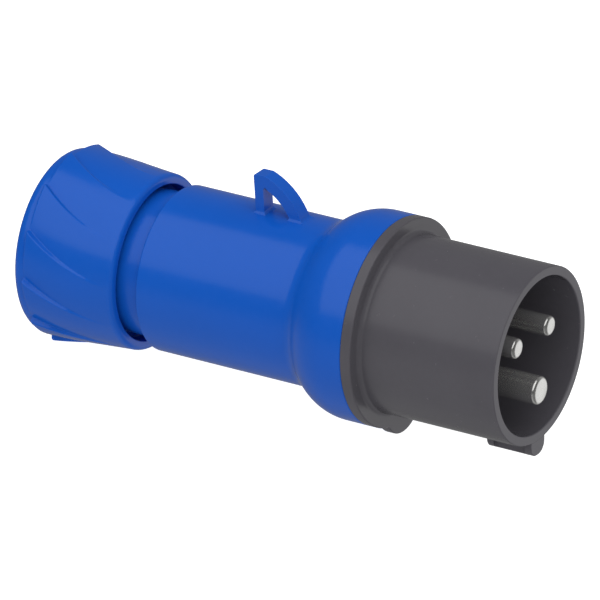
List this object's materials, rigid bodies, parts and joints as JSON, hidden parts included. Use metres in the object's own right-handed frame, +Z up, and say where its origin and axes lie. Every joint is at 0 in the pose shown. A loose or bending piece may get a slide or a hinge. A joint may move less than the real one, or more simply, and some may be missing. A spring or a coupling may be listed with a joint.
{
  "type": "industrial pin and sleeve plug",
  "caption": "Industrial pin and sleeve plug: keyed round shroud with contact pins, domed housing with hanging loop, and a screwed cable gland nut with swept grips.",
  "frame": {"origin": "centre of the shroud's mouth, on the plug's axis", "axes": "+X along the plug's axis, out of the mouth; +Z up through the hanging loop, away from the key and the earth pin"},
  "size_m": [0.1328, 0.0512, 0.0583],
  "materials": {
    "carrier_grey": "satin moulded",
    "housing_blue": "satin moulded",
    "nut_blue": "satin moulded",
    "contact_metal": "nickel plated",
    "zinc_steel": "zinc plated",
    "retainer_black": "moulded",
    "barrier_white": "moulded",
    "collet_white": "moulded",
    "seal_rubber": "matt",
    "grommet_rubber": "matt"
  },
  "bodies": {
    "plug": {"contact_carrier": "carrier_grey", "line_pin": "contact_metal", "neutral_pin": "contact_metal", "earth_pin": "contact_metal", "pin_retainer": "retainer_black", "phase_barrier": "barrier_white", "retainer_screw": "zinc_steel", "housing_seal": "seal_rubber", "rear_housing": "housing_blue", "clamp_collet": "collet_white", "cable_grommet": "grommet_rubber", "grommet_reducer": "grommet_rubber"},
    "slip_ring": {"thrust_washer": "collet_white"},
    "nut": {"gland_nut": "nut_blue"},
    "line_plate": {"line_pressure_plate": "zinc_steel"},
    "line_screw": {"line_terminal_screw": "zinc_steel"},
    "neutral_plate": {"neutral_pressure_plate": "zinc_steel"},
    "neutral_screw": {"neutral_terminal_screw": "zinc_steel"},
    "earth_plate": {"earth_pressure_plate": "zinc_steel"},
    "earth_screw": {"earth_terminal_screw": "zinc_steel"}
  },
  "joints": [
    {"name": "nut_travel", "type": "slide", "parent": "plug", "child": "slip_ring", "axis": [1, 0, 0], "range_m": [-0.0121, 0]},
    {"name": "nut_turn", "type": "hinge", "parent": "slip_ring", "child": "nut", "pos_m": [-0.118, 0, 0], "axis": [1, 0, 0], "range_deg": [-1440, 0]},
    {"name": "line_plate_travel", "type": "slide", "parent": "plug", "child": "line_plate", "axis": [0, -0.866, -0.5], "range_m": [0, 0.0032]},
    {"name": "line_screw_turn", "type": "hinge", "parent": "line_plate", "child": "line_screw", "pos_m": [-0.0496, 0.01212, 0.007], "axis": [0, -0.866, -0.5], "range_deg": [0, 1646]},
    {"name": "neutral_plate_travel", "type": "slide", "parent": "plug", "child": "neutral_plate", "axis": [0, 0.866, -0.5], "range_m": [0, 0.0032]},
    {"name": "neutral_screw_turn", "type": "hinge", "parent": "neutral_plate", "child": "neutral_screw", "pos_m": [-0.0496, -0.01212, 0.007], "axis": [0, 0.866, -0.5], "range_deg": [0, 1646]},
    {"name": "earth_plate_travel", "type": "slide", "parent": "plug", "child": "earth_plate", "axis": [0, 0, 1], "range_m": [0, 0.0032]},
    {"name": "earth_screw_turn", "type": "hinge", "parent": "earth_plate", "child": "earth_screw", "pos_m": [-0.0496, 0, -0.014], "axis": [0, 0, 1], "range_deg": [0, 1646]}
  ],
  "couplings": [
    {"joint": "nut_travel", "follows": "nut_turn", "m_per_rad": 0.00047746},
    {"joint": "line_screw_turn", "follows": "line_plate_travel", "rad_per_m": 8976},
    {"joint": "neutral_screw_turn", "follows": "neutral_plate_travel", "rad_per_m": 8976},
    {"joint": "earth_screw_turn", "follows": "earth_plate_travel", "rad_per_m": 8976}
  ]
}
